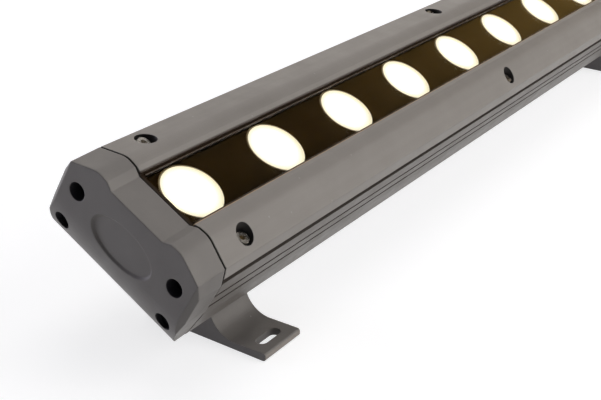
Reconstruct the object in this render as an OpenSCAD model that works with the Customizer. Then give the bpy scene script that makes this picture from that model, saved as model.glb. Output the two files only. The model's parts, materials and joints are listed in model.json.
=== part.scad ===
// Outdoor linear wall washer light on three tilting brackets.
// Origin: mounting surface, under the middle of the light, below the tilt axis.
// +X runs along the light, +Z away from the mounting surface.
// Housing sections are drawn with Y across the light and Z measured from the lens plane.

/* [Row of lights] */
// Number of lenses in the row
led_count = 18; // [4:1:18]
// Distance between neighbouring lenses
led_pitch = 55; // [48:1:80]
// From the flanges of the outer lenses to the ends of the extrusion
end_clear = 2.3; // [1.8:0.1:20]
// Tilt of the housing about its long axis, as it stands
rest_tilt = 29; // [-40:1:40]

/* [Housing section] */
// Width over the upper band of the flanks
flank_w = 71; // [70:0.2:74]
// How far each lower band of the flanks sits in from the one above
band_step = 0.2; // [0.1:0.05:0.4]
// How far the flanks lean in at the bottom corners
bottom_lean = 1.9; // [0.5:0.1:3]
// Depth of the bottom below the lens plane
body_depth = 42; // [41:0.5:46]
// Depth of the shoulder that the bezel skirts stand on
shoulder_depth = 7.4; // [7:0.1:8.5]
// Depth of the seat under the bezel rails
rail_seat_depth = 3.6; // [3.4:0.1:4]
// Depth of the upper long groove in the flanks
groove_2_depth = 15; // [13:0.5:16]
// Depth of the lower long groove in the flanks
groove_3_depth = 21.4; // [20:0.2:24]
// Height of a long groove
groove_h = 1.8; // [1:0.1:2.4]
// How far the long grooves reach into the flank
groove_in = 1.6; // [0.6:0.1:1.8]
// Depth at which the lower band starts to lean in
lean_depth = 27; // [25:0.5:33]
// Rounding of the bottom corners
bottom_r = 3; // [1:0.2:4]
// Thickness of the flanks from the middle band in
flank_wall = 3.4; // [3.2:0.1:4]
// Thickness of the bottom
bottom_wall = 2.3; // [1.8:0.1:2.5]
// Thickness of the shelf under the lens board
shelf_wall = 2.2; // [1.8:0.1:3]
// Thickness of the trough walls beside the lenses
trough_wall = 2.2; // [1.8:0.1:2.6]
// Thickness under the seat of the bezel rails
seat_wall = 3.6; // [3:0.1:4]
// Thickness of the solid round an end screw channel
channel_wall = 2; // [1.6:0.1:2.4]
// Rounding inside the chambers
chamber_r = 1.2; // [0.4:0.1:2]

/* [Bracket slot in the bottom] */
// Width of the mouth of the slot
slot_mouth_w = 8.4; // [7:0.1:9]
// Height of the lips beside the mouth
slot_lip_h = 2.6; // [2.4:0.1:3]
// Width of the slot behind the lips
slot_inner_w = 14.8; // [13:0.2:16]
// Height of the slot behind the lips
slot_inner_h = 5.2; // [5:0.1:5.6]
// Thickness of the metal round the slot
slot_wall = 2.1; // [1.8:0.1:2.4]

/* [Bezel rails] */
// Clear width between the lenses and each bezel rail
window_in = 0.8; // [0.5:0.1:1.2]
// Height of the inner edge of the rails
rail_edge_h = 4.2; // [4:0.1:4.6]
// From the inner edges of the rails to the creases
crease_in = 2.5; // [2:0.1:3]
// Height of the creases
crease_h = 5.2; // [5:0.1:5.4]
// From the inner edges of the rails to the crests before they are rounded
crest_in = 7.5; // [7:0.1:8]
// Height of the crests before they are rounded
crest_h = 5.8; // [5.6:0.1:6.4]
// Rounding of the crests
crest_r = 9; // [3:0.2:10]
// How far the skirts lean in up to the outer corners of the slopes
skirt_lean = 1.4; // [0.8:0.1:2]
// Depth of the outer corners of the slopes
corner_depth = 0.3; // [0:0.1:1]
// How far the lower edge of the skirts sits in from the flanks
skirt_in = 0.5; // [0.3:0.1:1]
// Depth of the lower edge of the rail skirts
skirt_depth = 5.4; // [5:0.1:6]
// Thickness of the tongue behind the upper groove
tongue_t = 2.2; // [1.6:0.1:2.6]
// How far the tongue sits in from the skirt
tongue_in = 1.6; // [1:0.1:2]
// Number of screws in each rail
rail_screw_count = 5; // [2:1:8]
// Diameter of the counterbores in the slopes
rail_counterbore_d = 8.4; // [7:0.1:8.6]
// Depth of the floor of these counterbores
rail_floor_depth = 2; // [1.6:0.1:2.2]

/* [Glass and its seal] */
// How far the glass rests on each side of the trough
ledge_w = 2.2; // [1.5:0.1:2.4]
// Thickness of the glass
glass_t = 3; // [2.8:0.1:3.2]
// Height of the top of the glass
glass_top_h = 2; // [1.6:0.1:2.2]
// From the ends of the extrusion to the glass
glass_end_gap = 0.6; // [0.6:0.1:2]
// Thickness of the seal round the edge of the glass
seal_t = 0.5; // [0.3:0.05:0.6]
// How much of the seal shows beside each rail
seal_show = 1; // [0.6:0.1:1.6]
// Width of the seal at the two ends
seal_end_w = 1; // [0.8:0.1:2]

/* [Lenses and board] */
// Diameter of the visible face of a lens
lens_d = 26.6; // [20:0.2:27]
// Height of that face
lens_face_t = 1.7; // [1.6:0.1:2]
// Gap between the glass and the lenses
lens_air = 0.3; // [0.2:0.05:0.6]
// How far the flange that holds a lens reaches under the mask
lens_flange_w = 0.9; // [0.5:0.1:1.3]
// Thickness of that flange
lens_flange_t = 1.2; // [0.8:0.1:1.6]
// Diameter of the foot ring of a lens
lens_foot_d = 11; // [10:0.2:13]
// Height of the foot ring of a lens
lens_foot_h = 2; // [1:0.1:3]
// Diameter of the cavity over an emitter
lens_cavity_d = 8; // [7:0.2:8.6]
// Height of the cavity over an emitter
lens_cavity_h = 4; // [3:0.1:5]
// Gap between the flange of a lens and the side walls of the mask
flange_clear = 1.3; // [0.5:0.1:1.5]
// Gap between the mask and the trough
mask_clear = 0.2; // [0.1:0.05:0.3]
// Thickness of the mask plate
mask_t = 1.2; // [1:0.1:1.3]
// Thickness of the side walls of the mask
mask_wall = 1.1; // [0.8:0.1:1.4]
// Gap round each lens in the mask
mask_gap = 0.15; // [0.1:0.05:0.3]
// Depth of the floor of the trough, as a share of the depth of the body
trough_share = 0.4095; // [0.395:0.0005:0.42]
// Gap between the board and the trough
board_clear = 1.8; // [1.6:0.1:4]
// Thickness of the lens board
board_t = 1.6; // [1:0.1:2]
// Width of an emitter
emitter_w = 3.5; // [2:0.1:5]
// Height of the base of an emitter
emitter_base_h = 0.8; // [0.5:0.1:1.2]
// Diameter of the dome of an emitter
emitter_dome_d = 2.8; // [1.6:0.1:3.2]
// Diameter of the hole that the leads pass up through
lead_hole_d = 7; // [5:0.5:8]
// Diameter of a lead
lead_d = 1.8; // [1:0.1:2.2]
// Length of the leads along the board
lead_tail = 5; // [4:0.5:8]

/* [Driver] */
// Length of the driver
driver_l = 200; // [120:5:240]
// Width of the driver
driver_w = 30; // [20:1:36]
// Gap over the driver
driver_clear = 2.3; // [2:0.1:5]
// Rounding of the edges of the driver
driver_r = 1.2; // [0.5:0.1:2]
// Thickness of the pad under the driver
pad_t = 0.8; // [0.5:0.1:1]
// Distance between the driver and the lead hole
driver_gap = 35; // [20:1:60]

/* [End caps] */
// Length of an end cap
cap_l = 14.5; // [14:0.5:20]
// Thickness of the gasket at each end
gasket_t = 1; // [0.6:0.1:2]
// How far the gaskets stay inside the outline of the caps
gasket_in = 0.3; // [0.1:0.1:0.5]
// How far a cap stands out over the flanks
cap_over = 0.2; // [0.1:0.1:1]
// Height of the valley between the shoulders of a cap
valley_h = 3.1; // [2.8:0.1:3.6]
// How far that valley ends inside the window
valley_in = 0.8; // [0.5:0.1:2]
// Depth at which the end face starts to curve back
curve_depth = 20; // [18:0.5:22]
// Length of the flat bottom that the curve leaves
cap_foot_l = 3.2; // [2:0.1:8]
// Slope of the top of a cap towards its end
cap_slope = 4.3; // [0:0.1:5]
// Length of the chamfer on the flank edges
chamfer_l = 2.2; // [0.5:0.1:2.8]
// Width of the chamfer on the flank edges
chamfer_w = 2.2; // [0.5:0.1:2.5]
// Rounding of the upper flank corners of a cap
cap_corner_r = 2.6; // [1:0.2:4]
// Rounding of the bottom corners of a cap
cap_bottom_r = 4; // [1:0.2:5]
// Length of the pocket in the inner side of a cap
pocket_l = 6; // [5:0.5:6.5]
// Thickness between that pocket and the screw holes
pocket_wall = 2.8; // [2:0.1:6]
// Depth of the top of that pocket
pocket_top_depth = 4; // [3:0.5:6]
// Thickness under that pocket
pocket_floor = 9; // [8:0.5:12]
// Width of the oval dish in the end face
dish_w = 31.6; // [28:0.4:34]
// Height of the oval dish
dish_h = 17.6; // [17.4:0.2:19]
// Depth of the centre of the dish below the lens plane
dish_z = 14.9; // [14:0.1:16]
// How far the dish goes into the end face
dish_in = 1; // [0.6:0.1:1.4]
// Width of the sloping rim of the dish
dish_rim = 1; // [0.6:0.1:1]
// Thickness between the rail screws and the upper end screw channels
channel_gap = 1; // [0.9:0.1:1.5]
// From the inner sides of the flanks to the lower end screws
lower_screw_in = 4; // [3.6:0.1:5]
// Height of the lower end screws over the bottom
lower_screw_rise = 13; // [12:0.5:15]
// Gap round the end screw heads
head_clear = 0.25; // [0.1:0.05:0.4]
// Length of metal under the end screw heads
cap_grip = 5.5; // [4:0.5:7]

/* [Cable gland] */
// Diameter of the gland thread
gland_thread_d = 12; // [10:0.5:13]
// Size of the gland across flats
gland_af = 14; // [13:0.5:14]
// Thickness of the gland flange
gland_flange_t = 5; // [3:0.5:7]
// Length of the clamping nut of the gland
gland_nut_l = 12; // [9:0.5:16]
// Diameter of the opening for a cable
cable_d = 6.5; // [4:0.1:7]
// Length of the rubber insert round the cable
insert_l = 9; // [6:0.5:12]
// Thickness of the rubber insert
insert_t = 1.2; // [0.8:0.1:1.4]
// Thickness of the locknut inside the cap
locknut_t = 3.2; // [2:0.1:3.6]

/* [Screws] */
// Diameter of the rail and board screws
small_screw_d = 3; // [2.5:0.1:3.2]
// Diameter of their heads
small_head_d = 5.5; // [4.8:0.1:5.8]
// Height of their heads
small_head_h = 3; // [2:0.1:3.2]
// Size of their key sockets across flats
small_key_af = 2.5; // [1.5:0.1:3]
// Depth of their key sockets
small_key_h = 1.5; // [0.8:0.1:2]
// Length of the shank of a rail screw
rail_screw_l = 5; // [4:0.1:5.2]
// Diameter of the end screws
end_screw_d = 4; // [3:0.5:4]
// Diameter of their heads
end_head_d = 7; // [5.5:0.1:7]
// Height of their heads
end_head_h = 4; // [3:0.1:4]
// Size of their key sockets across flats
end_key_af = 3; // [2:0.1:3.5]
// Depth of their key sockets
end_key_h = 2; // [1:0.1:2.4]
// Length of the shank of an end screw
end_screw_l = 16; // [12:1:25]
// Length of the shank of a board screw
board_screw_l = 3.4; // [2.6:0.1:3.6]
// Height of the head of a board screw
board_head_h = 2; // [1:0.1:2.4]
// Diameter of the pivot and clamp screws
large_screw_d = 5; // [4:0.5:5]
// Diameter of their heads
large_head_d = 9.4; // [8:0.1:9.6]
// Height of their heads
large_head_h = 2.7; // [2:0.1:2.8]
// Size of their key sockets across flats
large_key_af = 3; // [2:0.1:4]
// Depth of their key sockets
large_key_h = 1.6; // [1:0.1:2]
// Size of the pivot nut across flats
pivot_nut_af = 8; // [7:0.1:8.2]
// Thickness of the pivot nut
pivot_nut_t = 3.6; // [2.5:0.1:4]

/* [Brackets] */
// From the outer lens to the middle of an end bracket
bracket_inset = 22; // [8:1:120]
// Width of a bracket foot along the light
foot_w = 24.4; // [22:0.2:30]
// Height of the tilt axis over the mounting surface
pivot_h = 23.4; // [23:0.2:30]
// Gap between the round head of the foot and the saddle
knuckle_clear = 0.9; // [0.5:0.1:3]
// From the tilt axis to the tip of the foot
foot_reach = 54.7; // [50:0.5:80]
// How far the heel of the foot reaches past its round head
heel_over = 0.5; // [0.3:0.1:8]
// Thickness of the foot plate
plate_t = 3.2; // [2.5:0.1:4]
// From the slot to the middle of the hollow between plate and neck
hollow_in = 8; // [7:0.5:10]
// Angle over which the hollow rises
hollow_angle = 70; // [55:1:75]
// Gap between the block of the foot and the ears of the saddle
block_clear = 3.1; // [2:0.1:4]
// Rounding of the top of the heel
heel_r = 3.6; // [1:0.1:5]
// Rounding of the tip edges
tip_r = 1.4; // [0.5:0.1:1.5]
// Radius of the round head of the foot
knuckle_r = 7.5; // [6.5:0.1:8]
// Width of that head along the light
knuckle_w = 10; // [8:0.2:11]
// Gap at each side of the head
knuckle_gap = 0.3; // [0.2:0.05:0.5]
// Length of the slot in the foot plate
foot_slot_l = 14; // [8:0.5:18]
// Width of the slot in the foot plate
foot_slot_w = 5.2; // [4:0.1:6.5]
// From the tip of the foot to the middle of its slot
foot_slot_in = 7.5; // [6:0.1:9]
// Radial clearance of the tilt axis bore
pivot_clearance = 0.05; // [0.02:0.01:0.1]
// How far the saddle reaches past the clamp screw heads
saddle_over = 0.8; // [0.4:0.1:10]
// Width of the saddle across the light
saddle_w = 26; // [22:1:30]
// Thickness of the saddle plate
saddle_t = 3.5; // [3:0.1:3.6]
// Gap between the saddle and the housing
saddle_gap = 0.1; // [0.05:0.05:0.3]
// Gap between the foot and the clamp screw heads
clamp_clear = 0.6; // [0.4:0.1:3]
// Gap at each side of the slot nut
slot_nut_clear = 0.4; // [0.2:0.1:1]
// Height left free in the slot by the slot nut
slot_nut_room = 1.2; // [0.8:0.1:2]
// How much shorter the slot nut is than the saddle
slot_nut_short = 2; // [0:0.5:4]

/* [Hidden] */
$fn = 48;
// Sides of the small round parts
small_fn = 32;
// Steps in a rounded corner
corner_steps = 5;
// Steps in a wide curve
curve_steps = 12;
// Sides of the oval dish
dish_steps = 48;
// Extra length of every cut
overrun = 1;
// Play round screws in plain holes
screw_play = 0.2;
// Play round screws in their threads
thread_play = 0.1;
// Small gap between seated parts
fit_gap = 0.1;
// Two sides of an outline count as straight below this share of a turn
straight_share = 0.0001;

// Place of the rail screws between the glass and the tongue of a rail
rail_screw_share = 0.638;
// Place of the upper end screws between the trough wall and the flank
upper_screw_share = 0.547;
// Radius of the hollow in the foot, as a share of the height that it rises
hollow_share = 1.354;

lens_flange_d = lens_d + 2 * lens_flange_w;
end_margin = lens_flange_d / 2 + end_clear;
body_l = (led_count - 1) * led_pitch + 2 * end_margin;
body_end = body_l / 2;
trough_depth = trough_share * body_depth;
middle_band_w = flank_w - 2 * band_step;
lower_band_w = middle_band_w - 2 * band_step;
bottom_w = lower_band_w - 2 * bottom_lean;
skirt_w = flank_w - 2 * skirt_in;
corner_w = skirt_w - 2 * skirt_lean;
window_w = lens_d + 2 * window_in;
crease_w = window_w + 2 * crease_in;
crest_w = window_w + 2 * crest_in;
cap_w = flank_w + 2 * cap_over;
valley_w = window_w - 2 * valley_in;
mask_w = lens_flange_d + 2 * (flange_clear + mask_wall);
trough_w = mask_w + 2 * mask_clear;
board_w = trough_w - 2 * board_clear;
glass_w = trough_w + 2 * ledge_w;
seal_window_w = window_w - 2 * seal_show;
pivot_drop = knuckle_r + knuckle_clear + saddle_t + saddle_gap;
lens_plane_h = body_depth + pivot_drop;
lens_top = glass_top_h - glass_t - lens_air;
board_top = board_t - trough_depth;
ledge_depth = glass_t + seal_t - glass_top_h;
mask_top = -ledge_depth - fit_gap;
seal_w = glass_w + 2 * seal_t;
seal_play = 0.1;
rail_inner_w = seal_w + 2 * seal_play;
tongue_w = skirt_w - 2 * tongue_in;
groove_floor_w = middle_band_w - 2 * groove_in;
chamber_w = middle_band_w - 2 * flank_wall - 2 * fit_gap;
lower_chamber_top = -trough_depth - shelf_wall;
slot_top = slot_lip_h + slot_inner_h - body_depth;
slot_roof = slot_top + slot_wall;
thread_r = small_screw_d / 2 + thread_play;
channel_r = end_screw_d / 2 + thread_play;
boss_r = channel_r + channel_wall;
rail_floor = -rail_floor_depth;
rail_hole_depth = rail_screw_l + rail_floor_depth + 2 * thread_play;
rail_screw_w = rail_inner_w + rail_screw_share * (tongue_w - 2 * tongue_t - rail_inner_w);
trough_outer_w = trough_w + 2 * trough_wall;
upper_screw_w = trough_outer_w + upper_screw_share * (chamber_w - trough_outer_w);
upper_screw_depth = rail_hole_depth + channel_gap + channel_r;
lower_screw_w = chamber_w - 2 * lower_screw_in;
lower_screw_depth = body_depth - lower_screw_rise;
cap_counterbore_d = end_head_d + 2 * head_clear;
pocket_w = upper_screw_w - end_screw_d - 2 * (screw_play + pocket_wall);
pocket_bottom_depth = body_depth - pocket_floor;
driver_bottom = slot_roof + pad_t;
driver_h = lower_chamber_top - driver_bottom - driver_clear;
rail_screw_step = (led_count - 1) * led_pitch / (rail_screw_count - 1);
bracket_x = (led_count - 1) * led_pitch / 2 - bracket_inset;
// Name and place along the light of each bracket
BRACKETS = [["near", -bracket_x], ["middle", 0], ["far", bracket_x]];
board_screw_every = 3;
lead_gap_share = 2;
lead_x = lead_gap_share * led_pitch;
driver_x = lead_x + driver_gap + driver_l / 2;
pocket_end_wall = cap_l - pocket_l;
gland_clear_r = gland_thread_d / 2 + thread_play;
ear_t = (foot_w - knuckle_w) / 2 - knuckle_gap;
ear_head_h = large_head_h + screw_play;
shaft_r = large_screw_d / 2;
clamp_pitch = foot_w + large_head_d + 2 * clamp_clear;
saddle_l = clamp_pitch + large_head_d + 2 * saddle_over;
slot_nut_w = slot_inner_w - 2 * slot_nut_clear;
slot_nut_h = slot_inner_h - slot_nut_room;
slot_nut_l = saddle_l - slot_nut_short;
heel_reach = knuckle_r + heel_over;
block_h = pivot_h - knuckle_r - block_clear;
hollow_r = hollow_share * (block_h - plate_t);
foot_slot_reach = foot_reach - foot_slot_in;
hollow_reach = foot_slot_reach - hollow_in;

LENSES = [for (i = [1:led_count]) str("lens_", i < 10 ? "0" : "", i)];
BRACKET_PARTS = ["saddle", "slot_nut", "clamp_screws", "foot", "pivot_bolt", "pivot_nut"];

housing_grey = "#8b8883";
cap_grey = "#6f6e72";
bracket_grey = "#55534f";
steel = "#b9b9b6";
black_rubber = "#1b1b1c";
mask_brown = "#33240f";

// Unit vector
function unit(v) = v / norm(v);

// Arc between two angles
function arc(centre, r, from, to, steps) =
    [for (i = [0:steps]) centre + r * [cos(from + (to - from) * i / steps), sin(from + (to - from) * i / steps)]];

// Points that round the corner b between its neighbours a and c
function corner(a, b, c, r, steps) =
    let (u = unit(a - b), w = unit(c - b), half = acos(u * w) / 2)
    norm(u + w) < straight_share ? [b] :
    let (run = r / tan(half), centre = b + unit(u + w) * r / sin(half))
    let (s = b + u * run - centre, e = b + w * run - centre)
    let (from = atan2(s[1], s[0]), turn = atan2(s[0] * e[1] - s[1] * e[0], s * e))
    arc(centre, r, from, from + turn, steps);

// Closed outline with each [y, z, radius] corner rounded
function rounded(points, steps = corner_steps) =
    [for (i = [0:len(points) - 1])
        let (n = len(points), b = points[i], a = points[(i + n - 1) % n], c = points[(i + 1) % n])
        each b[2] <= 0 ? [[b[0], b[1]]]
            : corner([a[0], a[1]], [b[0], b[1]], [c[0], c[1]], b[2], steps)];

// A right-hand outline joined to its mirror image
function both_sides(points) =
    concat(points, [for (i = [len(points) - 1:-1:0]) [-points[i][0], points[i][1], points[i][2]]]);

// The section in the plane of Y and Z, pulled along X about the middle
module along_x(length) {
    rotate([90, 0, 90]) linear_extrude(height = length, center = true) children();
}

// A round bar or cutter along X, from one place to another
module x_rod(from, to, r) {
    translate([from, 0, 0]) rotate([0, 90, 0]) cylinder(h = to - from, r = r);
}

// Whatever belongs to the housing, tilted about the axis of the brackets
module in_housing() {
    translate([0, 0, pivot_h]) rotate([rest_tilt, 0, 0]) translate([0, 0, lens_plane_h]) children();
}

// Socket head screw, shank down, with its seat at the origin
module socket_screw(d, length, head_d, head_h, key_af, key_h) {
    difference() {
        union() {
            translate([0, 0, -length]) cylinder(h = length, d = d, $fn = small_fn);
            cylinder(h = head_h, d = head_d, $fn = small_fn);
        }
        translate([0, 0, head_h - key_h])
            cylinder(h = key_h + overrun, d = key_af / cos(30), $fn = 6);
    }
}

module small_screw(length, head_h = small_head_h) {
    socket_screw(small_screw_d, length, small_head_d, head_h, small_key_af, small_key_h);
}

// Outer outline of the extrusion, right half, from the bottom to the trough
extrusion_half = [
    [bottom_w / 2, -body_depth, bottom_r],
    [lower_band_w / 2, -lean_depth, bottom_r],
    [lower_band_w / 2, -groove_3_depth, 0],
    [middle_band_w / 2, -groove_3_depth, 0],
    [middle_band_w / 2, -groove_2_depth, 0],
    [flank_w / 2, -groove_2_depth, 0],
    [flank_w / 2, -shoulder_depth, 0],
    [tongue_w / 2 - tongue_t - fit_gap, -shoulder_depth, 0],
    [tongue_w / 2 - tongue_t - fit_gap, -rail_seat_depth, 0],
    [seal_w / 2, -rail_seat_depth, 0],
    [seal_w / 2, -ledge_depth, 0],
    [trough_w / 2, -ledge_depth, 0],
    [trough_w / 2, -trough_depth, 0]
];

// Chamber beside the trough, right side
side_chamber = [
    [trough_outer_w / 2, -rail_seat_depth - seat_wall, chamber_r],
    [chamber_w / 2, -shoulder_depth - seat_wall, chamber_r],
    [chamber_w / 2, -trough_depth, chamber_r],
    [trough_outer_w / 2, -trough_depth, chamber_r]
];

// Wide chamber under the shelf, right half
lower_half = [
    [bottom_w / 2 - flank_wall, bottom_wall - body_depth, chamber_r],
    [chamber_w / 2, -lean_depth, chamber_r],
    [chamber_w / 2, lower_chamber_top, chamber_r]
];

module slot_block() {
    translate([-slot_inner_w / 2 - slot_wall, -body_depth])
        square([slot_inner_w + 2 * slot_wall, slot_roof + body_depth]);
}

module slot_space() {
    translate([-slot_mouth_w / 2, -body_depth - overrun]) square([slot_mouth_w, slot_lip_h + 2 * overrun]);
    translate([-slot_inner_w / 2, slot_lip_h - body_depth]) square([slot_inner_w, slot_inner_h]);
}

// Long grooves of one flank
module flank_grooves() {
    for (depth = [groove_2_depth, groove_3_depth])
        translate([groove_floor_w / 2, -depth - groove_h / 2]) square([flank_w, groove_h]);
}

// Screw bosses of one flank, with the webs that tie them to the walls
module flank_bosses() {
    translate([upper_screw_w / 2, -upper_screw_depth]) circle(boss_r);
    translate([upper_screw_w / 2 - boss_r, -upper_screw_depth])
        square([2 * boss_r, upper_screw_depth - rail_seat_depth - overrun]);
    translate([lower_screw_w / 2, -lower_screw_depth]) circle(boss_r);
    translate([lower_screw_w / 2, -lower_screw_depth - boss_r])
        square([(chamber_w - lower_screw_w) / 2 + overrun, 2 * boss_r]);
}

module extrusion_section() {
    difference() {
        polygon(rounded(both_sides(extrusion_half)));
        difference() {
            union() {
                polygon(rounded(both_sides(lower_half)));
                for (side = [0, 1]) mirror([side, 0]) polygon(rounded(side_chamber));
            }
            slot_block();
            for (side = [0, 1]) mirror([side, 0]) flank_bosses();
        }
        slot_space();
        for (side = [0, 1]) mirror([side, 0]) flank_grooves();
    }
}

// Places of the end screws as [across, height]
end_screw_places = [
    for (side = [-1, 1]) each [
        [side * upper_screw_w / 2, -upper_screw_depth],
        [side * lower_screw_w / 2, -lower_screw_depth]
    ]
];

// Places of the rail screws as [along, across]
rail_screw_places = [
    for (side = [-1, 1]) for (i = [0:rail_screw_count - 1])
        [(i - (rail_screw_count - 1) / 2) * rail_screw_step, side * rail_screw_w / 2]
];

// Places of the board screws along the light, midway between lenses
board_screw_places = [
    for (i = [1:board_screw_every:led_count - 1]) (i - led_count / 2) * led_pitch
];

module extrusion() {
    color(housing_grey) in_housing() difference() {
        along_x(body_l) extrusion_section();
        for (place = end_screw_places)
            translate([0, place[0], place[1]]) x_rod(-body_end - overrun, body_end + overrun, channel_r);
        for (place = rail_screw_places)
            translate([place[0], place[1], -rail_hole_depth])
                cylinder(h = rail_hole_depth, r = thread_r, $fn = small_fn);
        for (x = board_screw_places)
            translate([x, 0, board_top - board_screw_l - fit_gap])
                cylinder(h = board_screw_l + overrun, r = thread_r, $fn = small_fn);
        translate([lead_x, 0, lower_chamber_top - overrun])
            cylinder(h = shelf_wall + 2 * overrun, d = lead_hole_d);
    }
}

// Section of the bezel rail on the far side
rail_outline = [
    [window_w / 2, rail_edge_h, seal_t],
    [window_w / 2, glass_top_h + seal_t, 0],
    [rail_inner_w / 2, glass_top_h + seal_t, 0],
    [rail_inner_w / 2, -rail_seat_depth, 0],
    [tongue_w / 2 - tongue_t, -rail_seat_depth, 0],
    [tongue_w / 2 - tongue_t, fit_gap - shoulder_depth, 0],
    [tongue_w / 2, fit_gap - shoulder_depth, 0],
    [tongue_w / 2, -skirt_depth, 0],
    [skirt_w / 2, -skirt_depth, fit_gap],
    [corner_w / 2, -corner_depth, seal_t],
    [crest_w / 2, crest_h, crest_r],
    [crease_w / 2, crease_h, seal_t]
];

module bezel_rail(side) {
    color(housing_grey) in_housing() difference() {
        along_x(body_l) scale([side, 1]) polygon(rounded(rail_outline));
        for (place = rail_screw_places) {
            translate([place[0], place[1], rail_floor])
                cylinder(h = crest_h + rail_floor_depth, d = rail_counterbore_d);
            translate([place[0], place[1], -rail_seat_depth - overrun])
                cylinder(h = rail_seat_depth + 2 * overrun, d = small_screw_d + 2 * screw_play);
        }
    }
}

module bezel_screws() {
    color(steel) in_housing() for (place = rail_screw_places)
        translate([place[0], place[1], rail_floor]) small_screw(rail_screw_l);
}

glass_l = body_l - 2 * glass_end_gap;

module glass() {
    color("#c9d6d8", 0.35) in_housing()
        translate([-glass_l / 2, -glass_w / 2, glass_top_h - glass_t]) cube([glass_l, glass_w, glass_t]);
}

module glass_seal() {
    seal_l = glass_l + 2 * seal_t;
    window_l = glass_l - 2 * seal_end_w;
    color(black_rubber) in_housing() difference() {
        translate([-seal_l / 2, -seal_w / 2, -ledge_depth]) cube([seal_l, seal_w, glass_t + 2 * seal_t]);
        translate([-glass_l / 2, -glass_w / 2, glass_top_h - glass_t]) cube([glass_l, glass_w, glass_t]);
        translate([-window_l / 2, -seal_window_w / 2, -ledge_depth - overrun])
            cube([window_l, seal_window_w, glass_t + 2 * seal_t + 2 * overrun]);
    }
}

function lens_x(i) = (i - (led_count + 1) / 2) * led_pitch;

// Mask with a window for each lens, standing on its side walls
module lens_mask() {
    mask_l = body_l - 2 * glass_end_gap;
    mask_h = trough_depth + mask_top;
    color(mask_brown) in_housing() difference() {
        translate([-mask_l / 2, -mask_w / 2, -trough_depth]) cube([mask_l, mask_w, mask_h]);
        translate([-mask_l / 2 - overrun, mask_wall - mask_w / 2, -trough_depth - overrun])
            cube([mask_l + 2 * overrun, mask_w - 2 * mask_wall, mask_h - mask_t + overrun]);
        for (i = [1:led_count])
            translate([lens_x(i), 0, mask_top - mask_t - overrun])
                cylinder(h = mask_t + 2 * overrun, r = lens_d / 2 + mask_gap);
    }
}

// Right half of the section of a lens, from the top of its axis
lens_outline = [
    [0, lens_top],
    [lens_d / 2, lens_top],
    [lens_d / 2, lens_top - lens_face_t],
    [lens_flange_d / 2, lens_top - lens_face_t],
    [lens_flange_d / 2, lens_top - lens_face_t - lens_flange_t],
    [lens_foot_d / 2, board_top + lens_foot_h],
    [lens_foot_d / 2, board_top],
    [lens_cavity_d / 2, board_top],
    [lens_cavity_d / 2, board_top + lens_cavity_h],
    [0, board_top + lens_cavity_h]
];

module lens(i) {
    color("#fff6dd") in_housing() translate([lens_x(i), 0, 0]) rotate_extrude() polygon(lens_outline);
}

module lens_board() {
    board_l = body_l - 2 * glass_end_gap;
    color("#e9e7df") in_housing() difference() {
        translate([-board_l / 2, -board_w / 2, -trough_depth]) cube([board_l, board_w, board_t]);
        for (x = board_screw_places)
            translate([x, 0, -trough_depth - overrun])
                cylinder(h = board_t + 2 * overrun, r = small_screw_d / 2 + screw_play, $fn = small_fn);
        translate([lead_x, 0, -trough_depth - overrun])
            cylinder(h = board_t + 2 * overrun, d = lead_hole_d);
    }
}

module emitters() {
    dome_r = emitter_dome_d / 2;
    color("#f3d36a") in_housing() for (i = [1:led_count]) translate([lens_x(i), 0, board_top]) {
        translate([-emitter_w / 2, -emitter_w / 2, 0]) cube([emitter_w, emitter_w, emitter_base_h]);
        translate([0, 0, emitter_base_h]) intersection() {
            sphere(dome_r, $fn = small_fn);
            translate([-dome_r, -dome_r, -fit_gap]) cube([2 * dome_r, 2 * dome_r, dome_r + fit_gap]);
        }
    }
}

module board_screws() {
    color(steel) in_housing() for (x = board_screw_places)
        translate([x, 0, board_top]) small_screw(board_screw_l, board_head_h);
}

// Two leads from the driver up through the shelf to the board
module board_leads() {
    lead_r = lead_d / 2;
    low = driver_bottom + driver_h / 2;
    high = board_top + lead_r;
    color("#c0392b") in_housing() for (side = [-1, 1]) translate([0, side * lead_d, 0]) {
        translate([0, 0, low]) x_rod(lead_x, lead_x + driver_gap, lead_r);
        translate([lead_x, 0, low]) sphere(lead_r, $fn = small_fn);
        translate([lead_x, 0, low]) cylinder(h = high - low, r = lead_r, $fn = small_fn);
        translate([lead_x, 0, high]) sphere(lead_r, $fn = small_fn);
        translate([0, 0, high]) x_rod(lead_x - lead_tail, lead_x, lead_r);
    }
}

module driver() {
    half = [
        [driver_w / 2, driver_bottom, driver_r],
        [driver_w / 2, driver_bottom + driver_h, driver_r]
    ];
    color("#d8d8d4") in_housing() translate([driver_x, 0, 0]) along_x(driver_l)
        polygon(rounded(both_sides(half)));
}

module driver_pad() {
    pad_w = slot_inner_w + 2 * slot_wall;
    color("#7d8fa3") in_housing()
        translate([driver_x - driver_l / 2, -pad_w / 2, slot_roof]) cube([driver_l, pad_w, pad_t]);
}

// Outline of an end cap or its gasket, right half, a little inside the cap where wanted
function cap_half(inset) = [
    [valley_w / 2, valley_h - inset, seal_t],
    [crease_w / 2, crease_h - inset, seal_t],
    [crest_w / 2 - inset, crest_h - inset, crest_r],
    [corner_w / 2 - inset, -corner_depth, seal_t],
    [cap_w / 2 - inset, -shoulder_depth, cap_corner_r],
    [cap_w / 2 - inset, -groove_3_depth, cap_corner_r],
    [bottom_w / 2 - inset, inset - body_depth, cap_bottom_r]
];

// Radius of the curve that brings the end face back to the flat bottom
curve_h = body_depth - curve_depth;
curve_l = cap_l - cap_foot_l;
curve_r = (curve_l * curve_l + curve_h * curve_h) / (2 * curve_l);

// Side view of a cap, its lower end curving back; X runs outwards from the gasket
cap_side = concat(
    [[0, crest_h + overrun], [0, -body_depth]],
    arc([cap_l - curve_r, -curve_depth], curve_r, -asin(curve_h / curve_r), 0, curve_steps),
    [[cap_l, crest_h + overrun]]
);

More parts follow.
